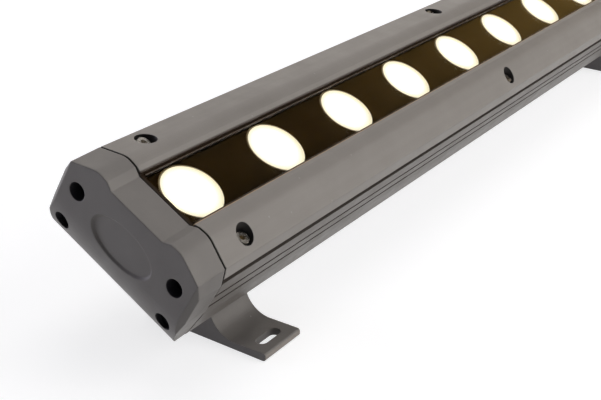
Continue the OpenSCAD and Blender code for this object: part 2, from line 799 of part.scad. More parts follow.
// Plan of a cap with its chamfered flank edges
cap_plan = [
    [0, -cap_w / 2 - overrun],
    [cap_l - chamfer_l, -cap_w / 2 - overrun],
    [cap_l - chamfer_l, -cap_w / 2],
    [cap_l, chamfer_w - cap_w / 2],
    [cap_l, cap_w / 2 - chamfer_w],
    [cap_l - chamfer_l, cap_w / 2],
    [cap_l - chamfer_l, cap_w / 2 + overrun],
    [0, cap_w / 2 + overrun]
];

// Oval of a given width and height
function oval(w, h) = [
    for (i = [0:dish_steps - 1]) [w / 2 * cos(360 * i / dish_steps), h / 2 * sin(360 * i / dish_steps)]
];

// The dish with its sloping rim
module dish() {
    rim_run = dish_rim * (dish_in + overrun) / dish_in;
    translate([cap_l - dish_in, 0, -dish_z]) rotate([90, 0, 90]) hull() {
        linear_extrude(height = fit_gap) polygon(oval(dish_w - 2 * dish_rim, dish_h - 2 * dish_rim));
        translate([0, 0, dish_in + overrun]) linear_extrude(height = fit_gap)
            polygon(oval(dish_w + 2 * (rim_run - dish_rim), dish_h + 2 * (rim_run - dish_rim)));
    }
}

// Cap as it stands at the far end, with X running outwards from its gasket
module cap_shape() {
    difference() {
        intersection() {
            rotate([0, cap_slope, 0]) along_x(cap_w) polygon(rounded(both_sides(cap_half(0))));
            rotate([90, 0, 0]) linear_extrude(height = cap_w + 2 * overrun, center = true)
                polygon(cap_side);
            translate([0, 0, -body_depth - overrun])
                linear_extrude(height = body_depth + crest_h + 2 * overrun) polygon(cap_plan);
        }
        translate([-overrun, -pocket_w / 2, -pocket_bottom_depth])
            cube([pocket_l + overrun, pocket_w, pocket_bottom_depth - pocket_top_depth]);
        dish();
        for (place = end_screw_places) translate([0, place[0], place[1]]) {
            x_rod(-overrun, cap_l + overrun, end_screw_d / 2 + screw_play);
            x_rod(cap_grip, cap_l + overrun, cap_counterbore_d / 2);
        }
    }
}

// Places a shape that runs outwards from a gasket at one end of the extrusion
module at_end(side, offset = 0) {
    in_housing() scale_x(side) translate([body_end + offset, 0, 0]) children();
}

// Mirrors to the near end where the side is negative
module scale_x(side) {
    mirror([side < 0 ? 1 : 0, 0, 0]) children();
}

module end_cap_near() {
    color(cap_grey) at_end(-1, gasket_t) cap_shape();
}

module end_cap_far() {
    color(cap_grey) at_end(1, gasket_t) difference() {
        cap_shape();
        translate([0, 0, -dish_z]) x_rod(0, cap_l + overrun, gland_clear_r);
    }
}

module end_gasket(side) {
    color(black_rubber) at_end(side) difference() {
        translate([gasket_t / 2, 0, 0]) along_x(gasket_t)
            polygon(rounded(both_sides(cap_half(gasket_in))));
        translate([-overrun, -pocket_w / 2, -pocket_bottom_depth])
            cube([gasket_t + 2 * overrun, pocket_w, pocket_bottom_depth - pocket_top_depth]);
        for (place = end_screw_places) translate([0, place[0], place[1]])
            x_rod(-overrun, gasket_t + overrun, end_screw_d / 2 + screw_play);
    }
}

module end_screws() {
    color(steel) for (side = [-1, 1]) at_end(side, gasket_t + cap_grip) for (place = end_screw_places)
        translate([0, place[0], place[1]]) rotate([0, 90, 0])
            socket_screw(end_screw_d, end_screw_l, end_head_d, end_head_h, end_key_af, end_key_h);
}

// Depth of the flat that the gland seats on, from the gasket
gland_seat = cap_l - dish_in;
insert_r = cable_d / 2 + insert_t;
gland_core_r = insert_r + fit_gap;

module at_gland() {
    at_end(1, gasket_t) translate([0, 0, -dish_z]) children();
}

module gland_hex(from, length) {
    translate([from, 0, 0]) rotate([0, 90, 0]) rotate(30)
        cylinder(h = length, d = gland_af / cos(30), $fn = 6);
}

module gland_body() {
    sleeve_r = gland_thread_d / 2 - thread_play;
    outer = gland_seat + gland_flange_t + gland_nut_l / 2;
    color("#2b2b2d") at_gland() difference() {
        union() {
            x_rod(gland_seat - pocket_end_wall, gland_seat + overrun, sleeve_r);
            gland_hex(gland_seat, gland_flange_t);
            x_rod(gland_seat + gland_flange_t - overrun, outer, sleeve_r);
        }
        x_rod(gland_seat - pocket_end_wall - overrun, outer + overrun, gland_core_r);
    }
}

module gland_insert() {
    start = gland_seat + gland_flange_t + gland_nut_l / 2 - insert_l;
    color(black_rubber) at_gland() difference() {
        x_rod(start, start + insert_l, insert_r);
        x_rod(start - overrun, start + insert_l + overrun, cable_d / 2);
    }
}

module gland_nut() {
    from = gland_seat + gland_flange_t + fit_gap;
    hex_l = gland_nut_l / 2;
    color("#2b2b2d") at_gland() difference() {
        union() {
            gland_hex(from, hex_l);
            translate([from + hex_l - fit_gap, 0, 0]) rotate([0, 90, 0])
                cylinder(h = hex_l + fit_gap, r1 = gland_af / 2 - screw_play, r2 = gland_core_r + insert_t);
        }
        x_rod(from - overrun, gland_seat + gland_flange_t + gland_nut_l / 2 + fit_gap, gland_clear_r);
        x_rod(from, from + gland_nut_l + overrun, insert_r);
    }
}

module gland_locknut() {
    color("#2b2b2d") at_gland() difference() {
        gland_hex(pocket_l - locknut_t, locknut_t);
        x_rod(pocket_l - locknut_t - overrun, pocket_l + overrun, gland_clear_r);
    }
}

// Whatever belongs to one bracket, with X = 0 in its middle
module at_bracket(place) {
    translate([place[1], 0, 0]) children();
}

// Whatever hangs under the housing at one bracket, measured from the tilt axis
module under_housing(place) {
    translate([place[1], 0, pivot_h]) rotate([rest_tilt, 0, 0]) children();
}

saddle_top = pivot_drop - saddle_gap;
saddle_bottom = saddle_top - saddle_t;

module saddle(place) {
    head_w = large_head_d + 2 * screw_play;
    color(bracket_grey) under_housing(place) difference() {
        union() {
            translate([-saddle_l / 2, -saddle_w / 2, saddle_bottom]) cube([saddle_l, saddle_w, saddle_t]);
            for (side = [0, 1]) mirror([side, 0, 0]) {
                x_rod(foot_w / 2 - ear_t, foot_w / 2, knuckle_r);
                translate([foot_w / 2 - ear_t, -knuckle_r, 0])
                    cube([ear_t, 2 * knuckle_r, saddle_bottom + overrun]);
            }
        }
        x_rod(-foot_w, foot_w, shaft_r + pivot_clearance);
        x_rod(-foot_w / 2 - overrun, ear_head_h - foot_w / 2, head_w / 2);
        translate([foot_w / 2 - pivot_nut_t - screw_play, 0, 0]) rotate([0, 90, 0])
            cylinder(h = foot_w, d = (pivot_nut_af + screw_play) / cos(30), $fn = 6);
        for (side = [-1, 1]) translate([side * clamp_pitch / 2, 0, 0])
            cylinder(h = saddle_top + overrun, r = shaft_r + screw_play, $fn = small_fn);
    }
}

slot_nut_bottom = pivot_drop + slot_lip_h + saddle_gap;

module slot_nut(place) {
    color(steel) under_housing(place) difference() {
        translate([-slot_nut_l / 2, -slot_nut_w / 2, slot_nut_bottom])
            cube([slot_nut_l, slot_nut_w, slot_nut_h]);
        for (side = [-1, 1]) translate([side * clamp_pitch / 2, 0, slot_nut_bottom - overrun])
            cylinder(h = slot_nut_h + 2 * overrun, r = shaft_r + thread_play, $fn = small_fn);
    }
}

module clamp_screws(place) {
    clamp_l = slot_nut_bottom + slot_nut_h - saddle_bottom;
    color(steel) under_housing(place) for (side = [-1, 1])
        translate([side * clamp_pitch / 2, 0, saddle_bottom]) mirror([0, 0, 1])
            socket_screw(large_screw_d, clamp_l, large_head_d, large_head_h, large_key_af, large_key_h);
}

// Side view of the foot: plate, hollow, block and heel, from the bottom of the tip
hollow_end = [
    hollow_r * sin(hollow_angle) - hollow_reach,
    plate_t + hollow_r * (1 - cos(hollow_angle))
];
foot_outline = concat(
    rounded([
        [hollow_end[0] + (block_h - hollow_end[1]) / tan(hollow_angle), block_h, tip_r / 2],
        [heel_reach, block_h, heel_r],
        [heel_reach, 0, tip_r],
        [-foot_reach, 0, tip_r],
        [-foot_reach, plate_t, tip_r]
    ]),
    arc([-hollow_reach, plate_t + hollow_r], hollow_r, -90, hollow_angle - 90, curve_steps)
);

module foot(place) {
    slot_run = foot_slot_l - foot_slot_w;
    color(bracket_grey) at_bracket(place) difference() {
        union() {
            along_x(foot_w) polygon(foot_outline);
            translate([0, 0, pivot_h]) x_rod(-knuckle_w / 2, knuckle_w / 2, knuckle_r);
            translate([-knuckle_w / 2, -knuckle_r, plate_t]) cube([knuckle_w, 2 * knuckle_r, pivot_h - plate_t]);
        }
        translate([0, 0, pivot_h]) x_rod(-foot_w, foot_w, shaft_r + pivot_clearance);
        translate([0, -foot_slot_reach, -overrun]) {
            for (side = [-1, 1]) translate([side * slot_run / 2, 0, 0])
                cylinder(h = plate_t + 2 * overrun, d = foot_slot_w);
            translate([-slot_run / 2, -foot_slot_w / 2, 0])
                cube([slot_run, foot_slot_w, plate_t + 2 * overrun]);
        }
    }
}

module pivot_bolt(place) {
    bolt_l = foot_w - ear_head_h + screw_play;
    color(steel) at_bracket(place) translate([ear_head_h - foot_w / 2, 0, pivot_h]) rotate([0, -90, 0])
        socket_screw(large_screw_d, bolt_l, large_head_d, large_head_h, large_key_af, large_key_h);
}

module pivot_nut(place) {
    color(steel) under_housing(place) difference() {
        translate([foot_w / 2 - pivot_nut_t - screw_play, 0, 0]) rotate([0, 90, 0])
            cylinder(h = pivot_nut_t, d = pivot_nut_af / cos(30), $fn = 6);
        x_rod(0, foot_w, shaft_r + thread_play);
    }
}

extrusion();
bezel_rail(-1);  // bezel_rail_near
bezel_rail(1);  // bezel_rail_far
bezel_screws();
glass();
glass_seal();
lens_mask();
lens_board();
emitters();
board_screws();
board_leads();
driver();
driver_pad();
end_cap_near();
end_cap_far();
end_gasket(-1);  // end_gasket_near
end_gasket(1);  // end_gasket_far
end_screws();
gland_body();
gland_insert();
gland_nut();
gland_locknut();
for (i = [1:led_count])
    lens(i);
for (place = BRACKETS) {
    saddle(place);
    slot_nut(place);
    clamp_screws(place);
    foot(place);
    pivot_bolt(place);
    pivot_nut(place);
}
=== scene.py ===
"""Outdoor wall washer light: finishes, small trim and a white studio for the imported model."""

import json
import math

import bpy
from mathutils import Matrix, Vector


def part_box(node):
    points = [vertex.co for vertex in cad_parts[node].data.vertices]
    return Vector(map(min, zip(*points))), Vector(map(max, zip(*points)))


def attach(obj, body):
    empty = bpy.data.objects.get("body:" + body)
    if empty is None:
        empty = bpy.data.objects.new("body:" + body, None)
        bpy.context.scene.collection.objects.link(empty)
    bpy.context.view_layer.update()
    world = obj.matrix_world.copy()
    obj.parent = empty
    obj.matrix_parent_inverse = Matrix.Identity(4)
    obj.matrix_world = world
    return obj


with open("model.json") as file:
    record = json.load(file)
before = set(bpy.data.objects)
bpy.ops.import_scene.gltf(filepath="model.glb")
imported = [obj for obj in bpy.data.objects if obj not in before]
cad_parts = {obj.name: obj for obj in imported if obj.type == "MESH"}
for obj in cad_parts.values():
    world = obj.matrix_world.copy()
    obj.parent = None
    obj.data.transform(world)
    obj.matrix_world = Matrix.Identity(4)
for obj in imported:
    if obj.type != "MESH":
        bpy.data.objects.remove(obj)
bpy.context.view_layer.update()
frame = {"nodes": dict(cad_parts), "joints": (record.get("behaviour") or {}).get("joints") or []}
nodes = frame["nodes"]

MM = 0.001

# Places named below are in the housing's own axes, from the middle of the lens plane, unless
# their comment says otherwise.

# Housing. It stands tilted about the line of the pivots, and the lens plane is above that line.
TILT = math.radians(29)
PIVOTS = {joint["child"]: joint["pos_m"] for joint in frame["joints"] if "pos_m" in joint}
PIVOT_Z = PIVOTS["foot_middle"][2]
LENS_RISE = 54 * MM
LENS_COUNT = 18
LENS_PITCH = 55 * MM
FIRST_LENS = -LENS_PITCH * (LENS_COUNT - 1) / 2
HOUSING_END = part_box("extrusion")[1].x
# Depth below the lens plane and half height of each long groove.
GROOVES = ((6.4 * MM, 1.0 * MM), (15 * MM, 0.9 * MM), (21.4 * MM, 0.9 * MM))

# Bezel rails. The screws run from the first lens to the last, and the lip is the inner edge.
RAIL_SCREWS = 5
RAIL_SCREW_STEP = -2 * FIRST_LENS / (RAIL_SCREWS - 1)
RAIL_SCREW_ACROSS = 27 * MM
RAIL_SCREW_SEAT = -2 * MM
RAIL_HOLE_RADIUS = 4.25 * MM
LIP_ACROSS = 14.3 * MM
SKIRT_TOP = 0.2 * MM

# Glazing bead along the edges of the glass.
BEAD_RADIUS = 0.42 * MM
BEAD_ACROSS = 13.35 * MM
BEAD_HEIGHT = 2.42 * MM
BEAD_END = HOUSING_END - 2.3 * MM

# End screws, each across the light and below the lens plane.
END_SCREW_PLACES = ((26 * MM, 10.3 * MM), (27.8 * MM, 29 * MM))
END_SCREW_SEAT = HOUSING_END + 6.6 * MM
END_HOLE_RADIUS = 3.8 * MM

# Brackets. The plate's end is in the frame's axes, and the last two are measured from a pivot.
PLATE_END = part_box("foot_middle")[0].y
CLAMP_SCREW_ALONG = 17.5 * MM
SADDLE_BOTTOM = 8.4 * MM
PIVOT_HEAD_ALONG = 9.3 * MM

# Noise of scale 1 has lumps about this many metres wide, and nearly all its values lie between
# these two.
LUMP = 0.6
NOISE_RANGE = {"From Min": 0.3, "From Max": 0.7}

WHITE = "#ffffff"


# Camera, found from the lens discs and the edges of the window in the photograph.

camera_data = bpy.data.cameras.new("camera")
camera_data.sensor_width = 36
camera_data.lens = 66.26
camera = bpy.data.objects.new("camera", camera_data)
bpy.context.scene.collection.objects.link(camera)
right = Vector((0.560317, -0.82783, 0.027251))
up = Vector((0.33686, 0.257814, 0.90557))
back = Vector((-0.756684, -0.498226, 0.42332))
camera.matrix_world = Matrix.Translation((-0.761363, -0.268966, 0.245261)) @ Matrix(
    (right, up, back)
).transposed().to_4x4()
bpy.context.scene.camera = camera


# Helpers. In a colour mix, input 0 is the share, 6 and 7 are the colours, and output 2 the result.


def linear(hex_colour):
    """An sRGB colour such as '#807d78' as linear RGBA."""
    parts = [int(hex_colour[i : i + 2], 16) / 255 for i in (1, 3, 5)]
    return tuple(p / 12.92 if p <= 0.04045 else ((p + 0.055) / 1.055) ** 2.4 for p in parts) + (1,)


def add(tree, kind, inputs=None, out=0, **settings):
    """Adds a node with its settings, values and links, and gives one of its outputs."""
    node = tree.nodes.new(kind)
    for name, value in settings.items():
        setattr(node, name, value)
    for name, value in (inputs or {}).items():
        if isinstance(value, bpy.types.NodeSocket):
            tree.links.new(value, node.inputs[name])
        else:
            node.inputs[name].default_value = value
    return node.outputs[out] if node.outputs else None


def start_material(name):
    """An empty material, and the object coordinates that its patterns follow."""
    material = bpy.data.materials.new(name)
    material.use_nodes = True
    tree = material.node_tree
    tree.nodes.clear()
    return material, tree, add(tree, "ShaderNodeTexCoord", out="Object")


def in_housing_axes(tree, place):
    """The place as (along the light, across it, above the lens plane)."""
    lift = Vector((0, -PIVOT_Z * math.sin(TILT), -PIVOT_Z * math.cos(TILT) - LENS_RISE))
    turned = {"Vector": place, "Rotation": (-TILT, 0, 0), "Location": lift}
    return add(tree, "ShaderNodeMapping", turned)


# Masks for the coated metal. Each gives the share of a second colour at a place.


def rail_hole_shade(tree, place):
    """1 inside the counterbores of the rail screws, where painted shade darkens them."""
    spot = in_housing_axes(tree, place)
    # The rails are alike on both sides and towards both ends, so one quarter stands for all.
    spot = add(tree, "ShaderNodeVectorMath", {0: spot}, operation="ABSOLUTE")
    # Every step along the rail is folded onto the first. The ones leave the other axes alone.
    high, low = (RAIL_SCREW_STEP / 2, 1, 1), (-RAIL_SCREW_STEP / 2, -1, -1)
    spot = add(tree, "ShaderNodeVectorMath", {0: spot, 1: high, 2: low}, operation="WRAP")
    middle = (0, RAIL_SCREW_ACROSS, 0)
    spot = add(tree, "ShaderNodeVectorMath", {0: spot, 1: middle}, operation="SUBTRACT")
    spot = add(tree, "ShaderNodeVectorMath", {0: spot, 1: (1, 1, 0)}, operation="MULTIPLY")
    gap = add(tree, "ShaderNodeVectorMath", {0: spot}, "Value", operation="LENGTH")
    limits = {"From Min": RAIL_HOLE_RADIUS - 0.04 * MM, "From Max": RAIL_HOLE_RADIUS}
    return add(tree, "ShaderNodeMapRange", {"Value": gap, **limits, "To Min": 1, "To Max": 0})


def cap_hole_shade(tree, place):
    """1 inside the counterbores of the end screws, where painted shade darkens them."""
    spot = in_housing_axes(tree, place)
    # Across the light and down, the same on both sides.
    spot = add(tree, "ShaderNodeVectorMath", {0: spot, 1: (0, 1, -1)}, operation="MULTIPLY")
    spot = add(tree, "ShaderNodeVectorMath", {0: spot}, operation="ABSOLUTE")
    nearest = 1.0
    for across, depth in END_SCREW_PLACES:
        middle = (0, across, depth)
        gap = add(tree, "ShaderNodeVectorMath", {0: spot, 1: middle}, "Value", operation="DISTANCE")
        nearest = add(tree, "ShaderNodeMath", {0: gap, 1: nearest}, operation="MINIMUM")
    limits = {"From Min": END_HOLE_RADIUS - 0.04 * MM, "From Max": END_HOLE_RADIUS}
    return add(tree, "ShaderNodeMapRange", {"Value": nearest, **limits, "To Min": 1, "To Max": 0})


def groove_shade(tree, place):
    """1 in the three long grooves of the flanks and just past their edges, where shade is painted.
    """
    height = add(tree, "ShaderNodeSeparateXYZ", {0: in_housing_axes(tree, place)}, 2)
    nearest = 1.0
    for depth, half in GROOVES:
        gap = add(tree, "ShaderNodeMath", {0: height, 1: depth}, operation="ADD")
        gap = add(tree, "ShaderNodeMath", {0: gap}, operation="ABSOLUTE")
        gap = add(tree, "ShaderNodeMath", {0: gap, 1: half}, operation="SUBTRACT")
        nearest = add(tree, "ShaderNodeMath", {0: gap, 1: nearest}, operation="MINIMUM")
    limits = {"From Min": 0, "From Max": 0.35 * MM, "To Min": 1, "To Max": 0}
    return add(tree, "ShaderNodeMapRange", {"Value": nearest, **limits})


def lip_light_and_shade(side, fade):
    """A mask for the narrow lip of the rail on that side (-1 near, 1 far), fading outwards, that
    carries painted light on the near lip and painted shade on the far one.
    """

    def mask_lip_light_and_shade(tree, place):
        across = add(tree, "ShaderNodeSeparateXYZ", {0: in_housing_axes(tree, place)}, 1)
        across = add(tree, "ShaderNodeMath", {0: across, 1: side}, operation="MULTIPLY")
        limits = {"From Min": LIP_ACROSS, "From Max": LIP_ACROSS + fade, "To Min": 1, "To Max": 0}
        edge = add(tree, "ShaderNodeMapRange", {"Value": across, **limits})
        own = add(tree, "ShaderNodeMath", {0: across, 1: 0}, operation="GREATER_THAN")
        return add(tree, "ShaderNodeMath", {0: edge, 1: own}, operation="MULTIPLY")

    return mask_lip_light_and_shade


def skirt_light(tree, place):
    """1 on the skirt under the slope of the rail, where painted light makes it a shade paler than
    the slope.
    """
    height = add(tree, "ShaderNodeSeparateXYZ", {0: in_housing_axes(tree, place)}, 2)
    limits = {"From Min": SKIRT_TOP - 1.4 * MM, "From Max": SKIRT_TOP, "To Min": 1, "To Max": 0}
    return add(tree, "ShaderNodeMapRange", {"Value": height, **limits})


def plate_ends(tree, place):
    """Up to 0.6 on the outer ends of the foot plates, where the coat is rubbed paler."""
    across = add(tree, "ShaderNodeSeparateXYZ", {0: place}, 1)
    limits = {"From Min": PLATE_END - 0.1 * MM, "From Max": PLATE_END + 0.3 * MM}
    limits.update({"To Min": 0.6, "To Max": 0})
    return add(tree, "ShaderNodeMapRange", {"Value": across, **limits})


# Coated metal.

DUST = "#b9b6b0"
DIE_LINE = "#605d59"
WORN_EDGE = "#b3aba1"


def powder_coat(name, colour, paler, peel, depth, rough, round_edge, worn, drawn=0, marks=()):
    """Polyester powder coat: a satin skin, cloudy by a shade or two.

    peel and depth are the width and depth of its orange peel, rough its least and most
    roughness, and round_edge the radius of its edges. worn says how far its edges are worn
    paler, and drawn how strong the lines of the die are. marks are pairs of a mask and the
    colour that shows there.
    """
    material, tree, place = start_material(name)

    # Soft clouds of a paler shade, and a fine mottle of the same.
    cloud = {"Vector": place, "Scale": LUMP / (16 * MM), "Detail": 3}
    cloud = add(tree, "ShaderNodeTexNoise", cloud)
    cloud = add(tree, "ShaderNodeMapRange", {"Value": cloud, **NOISE_RANGE})
    body = {0: cloud, 6: linear(colour), 7: linear(paler)}
    body = add(tree, "ShaderNodeMix", body, 2, data_type="RGBA")
    fine = add(tree, "ShaderNodeTexNoise", {"Vector": place, "Scale": LUMP / (0.9 * MM)})
    fine = add(tree, "ShaderNodeMapRange", {"Value": fine, **NOISE_RANGE, "To Max": 0.16})
    body = add(tree, "ShaderNodeMix", {0: fine, 6: body, 7: linear(paler)}, 2, data_type="RGBA")

    # Pale specks of dust, up to 1 mm wide and about 9 mm apart.
    speck = add(tree, "ShaderNodeTexVoronoi", {"Vector": place, "Scale": 1 / (9 * MM)})
    dot = {"From Min": 0.03, "From Max": 0.055, "To Min": 0.35, "To Max": 0}
    speck = add(tree, "ShaderNodeMapRange", {"Value": speck, **dot})
    body = add(tree, "ShaderNodeMix", {0: speck, 6: body, 7: linear(DUST)}, 2, data_type="RGBA")

    # Faint lines that the die drew along the metal, a hundred times longer than wide.
    if drawn:
        line = add(tree, "ShaderNodeMapping", {"Vector": place, "Scale": (0.01, 1, 1)})
        line = {"Vector": line, "Scale": LUMP / (1.8 * MM), "Detail": 4}
        line = add(tree, "ShaderNodeTexNoise", line)
        line = add(tree, "ShaderNodeMapRange", {"Value": line, **NOISE_RANGE, "To Max": drawn})
        body = {0: line, 6: body, 7: linear(DIE_LINE)}
        body = add(tree, "ShaderNodeMix", body, 2, data_type="RGBA")

    for mask, shown in marks:
        body = {0: mask(tree, place), 6: body, 7: linear(shown)}
        body = add(tree, "ShaderNodeMix", body, 2, data_type="RGBA")

    # Rounded edges, worn paler in patches where the rounding turns away from the face.
    edge = add(tree, "ShaderNodeBevel", {"Radius": round_edge}, samples=4)
    flat = add(tree, "ShaderNodeNewGeometry", out="Normal")
    sharp = {0: edge, 1: flat}
    sharp = add(tree, "ShaderNodeVectorMath", sharp, "Value", operation="DOT_PRODUCT")
    sharp = add(tree, "ShaderNodeMapRange", {"Value": sharp, "From Min": 0.99, "From Max": 0.85})
    rub = {"Vector": place, "Scale": LUMP / (6 * MM), "Detail": 4}
    rub = add(tree, "ShaderNodeTexNoise", rub)
    rub = {"Value": rub, "From Min": 0.35, "From Max": 0.7, "To Max": worn}
    rub = add(tree, "ShaderNodeMapRange", rub)
    rub = add(tree, "ShaderNodeMath", {0: rub, 1: sharp}, operation="MULTIPLY")
    body = {0: rub, 6: body, 7: linear(WORN_EDGE)}
    body = add(tree, "ShaderNodeMix", body, 2, data_type="RGBA")

    # Orange peel, and a gloss that changes a little from place to place.
    skin = add(tree, "ShaderNodeTexNoise", {"Vector": place, "Scale": LUMP / peel})
    skin = add(tree, "ShaderNodeBump", {"Height": skin, "Distance": depth, "Normal": edge})
    haze = add(tree, "ShaderNodeTexNoise", {"Vector": place, "Scale": LUMP / (5 * MM)})
    haze = {"Value": haze, **NOISE_RANGE, "To Min": rough[0], "To Max": rough[1]}
    haze = add(tree, "ShaderNodeMapRange", haze)
    coat = {"Base Color": body, "Roughness": haze, "Specular IOR Level": 0.35, "Normal": skin}
    coat = add(tree, "ShaderNodeBsdfPrincipled", coat)
    add(tree, "ShaderNodeOutputMaterial", {"Surface": coat})
    return material


# Extruded aluminium: dark warm grey, with faint lines of the die along it. It is a shade darker
# than the rails as painted shade on its down-facing flanks.
coated_extrusion = powder_coat(
    "powder_coated_extruded_aluminium",
    "#736e69",
    "#7b7670",
    peel=1.3 * MM,
    depth=0.03 * MM,
    rough=(0.42, 0.52),
    round_edge=0.35 * MM,
    worn=0.3,
    drawn=0.1,
    # Painted shade in the long grooves.
    marks=[(groove_shade, "#453e39")],
)
# The rails are extruded too, and paler. Warm light of the lenses is painted on the near lip,
# and dark brown shade on the far one.
coated_rail = powder_coat(
    "powder_coated_bezel_rail",
    "#8b8680",
    "#938e88",
    peel=1.3 * MM,
    depth=0.03 * MM,
    rough=(0.42, 0.52),
    round_edge=0.35 * MM,
    worn=0.3,
    drawn=0.1,
    marks=[
        # Painted light on the skirt.
        (skirt_light, "#9b9690"),
        # Painted shade in the counterbores of the rail screws.
        (rail_hole_shade, "#454341"),
        # Painted shade in the long grooves.
        (groove_shade, "#4b443f"),
        # Painted warm light of the lenses on the near lip, and painted shade on the far one.
        (lip_light_and_shade(-1, 0.4 * MM), "#c9a67e"),
        (lip_light_and_shade(1, 0.6 * MM), "#33261a"),
    ],
)
# Cast aluminium: a little rougher and one shade darker than the rails.
coated_cap = powder_coat(
    "powder_coated_die_cast_aluminium",
    "#7a7672",
    "#84807b",
    peel=1.6 * MM,
    depth=0.045 * MM,
    rough=(0.42, 0.54),
    round_edge=0.8 * MM,
    worn=0.35,
    # Painted shade in the counterbores of the end screws.
    marks=[(cap_hole_shade, "#3c3b3d")],
)
# The brackets are cast too: the darkest coat, glossier, and worn most at the edges.
coated_bracket = powder_coat(
    "coated_cast_aluminium_bracket",
    "#716d69",
    "#7c7873",
    peel=1.1 * MM,
    depth=0.05 * MM,
    rough=(0.36, 0.48),
    round_edge=0.35 * MM,
    worn=0.7,
    marks=[(plate_ends, "#b3a79a")],
)


# Bare metal.


def turned_steel(name, dark, bright, rough):
    """Steel turned on a lathe: fine turning marks and a little haze."""
    material, tree, place = start_material(name)
    # Squeezed seven times in two directions, so the grain runs in fine lines.
    lines = add(tree, "ShaderNodeMapping", {"Vector": place, "Scale": (1, 7, 7)})
    lines = {"Vector": lines, "Scale": LUMP / (1.4 * MM), "Detail": 4}
    lines = add(tree, "ShaderNodeTexNoise", lines)
    share = add(tree, "ShaderNodeMapRange", {"Value": lines, **NOISE_RANGE})
    tone = {0: share, 6: linear(dark), 7: linear(bright)}
    tone = add(tree, "ShaderNodeMix", tone, 2, data_type="RGBA")
    haze = add(tree, "ShaderNodeTexNoise", {"Vector": place, "Scale": LUMP / (2 * MM)})
    haze = {"Value": haze, **NOISE_RANGE, "To Min": rough[0], "To Max": rough[1]}
    haze = add(tree, "ShaderNodeMapRange", haze)
    surface = add(tree, "ShaderNodeBump", {"Height": lines, "Distance": 0.02 * MM})
    metal = {"Base Color": tone, "Metallic": 1.0, "Roughness": haze, "Normal": surface}
    metal = add(tree, "ShaderNodeBsdfPrincipled", metal)
    add(tree, "ShaderNodeOutputMaterial", {"Surface": metal})
    return material


# A2 stainless steel: bright warm grey.
steel = turned_steel("turned_stainless_steel", "#b5b1ab", "#d6d2cc", rough=(0.2, 0.36))
# Dark steel: nearly black with an oily sheen.
dark_steel = turned_steel("nearly_black_steel", "#1f1f21", "#303033", rough=(0.3, 0.45))


# Glass, lenses and mask.


def toughened_glass():
    """Clear toughened float glass: the faint waves of tempering and a trace of dust."""
    material, tree, place = start_material("clear_toughened_glass")
    wave = add(tree, "ShaderNodeTexNoise", {"Vector": place, "Scale": LUMP / (30 * MM)})
    wave = add(tree, "ShaderNodeBump", {"Height": wave, "Distance": 0.02 * MM})
    dust = add(tree, "ShaderNodeTexNoise", {"Vector": place, "Scale": LUMP / (10 * MM)})
    dust = add(tree, "ShaderNodeMapRange", {"Value": dust, **NOISE_RANGE})
    clear = {0: dust, 6: linear(WHITE), 7: linear("#fcfcf9")}
    clear = add(tree, "ShaderNodeMix", clear, 2, data_type="RGBA")
    haze = add(tree, "ShaderNodeMath", {0: dust, 1: 0.015}, operation="MULTIPLY")
    pane = {"Base Color": clear, "Roughness": haze, "Normal": wave}
    pane.update({"IOR": 1.5, "Transmission Weight": 1.0, "Specular IOR Level": 0.1})
    pane = add(tree, "ShaderNodeBsdfPrincipled", pane)
    add(tree, "ShaderNodeOutputMaterial", {"Surface": pane})
    return material


def lit_lens():
    """Clear moulded PMMA over a warm white emitter: the face glows white, yellower at the rim."""
    material, tree, place = start_material("lit_moulded_lens")
    # Every pitch of the row is folded onto one, and the height is dropped.
    spot = in_housing_axes(tree, place)
    high, low = (LENS_PITCH, 1, 1), (0, -1, -1)
    spot = add(tree, "ShaderNodeVectorMath", {0: spot, 1: high, 2: low}, operation="WRAP")
    spot = add(tree, "ShaderNodeVectorMath", {0: spot, 1: (1, 1, 0)}, operation="MULTIPLY")

    # The lens throws its light to one side, so its white core is off the middle.
    core = (LENS_PITCH / 2 - 0.6 * MM, 0.1 * MM, 0)
    rim = add(tree, "ShaderNodeVectorMath", {0: spot, 1: core}, "Value", operation="DISTANCE")
    rim = {"Value": rim, "From Min": 8.5 * MM, "From Max": 12.9 * MM}
    rim = add(tree, "ShaderNodeMapRange", rim)
    glow = {0: rim, 6: linear("#fffdf6"), 7: linear("#fff6d6")}
    glow = add(tree, "ShaderNodeMix", glow, 2, data_type="RGBA")
    power = add(tree, "ShaderNodeMapRange", {"Value": rim, "To Min": 1.5, "To Max": 0.98})

    # The edge of the disc, past 13 mm, is painted dark brown as the shade of the mask's window
    # edge, and hardly glows.
    disc = (LENS_PITCH / 2, -0.35 * MM, 0)
    edge = add(tree, "ShaderNodeVectorMath", {0: spot, 1: disc}, "Value", operation="DISTANCE")
    edge = {"Value": edge, "From Min": 12.8 * MM, "From Max": 13.05 * MM}
    edge = add(tree, "ShaderNodeMapRange", edge)
    glow = add(tree, "ShaderNodeMix", {0: edge, 6: glow, 7: linear("#3a280c")}, 2, data_type="RGBA")

    face = {0: rim, 6: linear("#b7b3a6"), 7: linear("#a39a7f")}
    face = add(tree, "ShaderNodeMix", face, 2, data_type="RGBA")
    haze = add(tree, "ShaderNodeTexNoise", {"Vector": place, "Scale": LUMP / (3 * MM)})
    haze = add(tree, "ShaderNodeMapRange", {"Value": haze, "To Min": 0.06, "To Max": 0.18})
    shine = {"Base Color": face, "Roughness": haze}
    shine.update({"Emission Color": glow, "Emission Strength": power})
    shine = add(tree, "ShaderNodeBsdfPrincipled", shine)
    add(tree, "ShaderNodeOutputMaterial", {"Surface": shine})
    return material


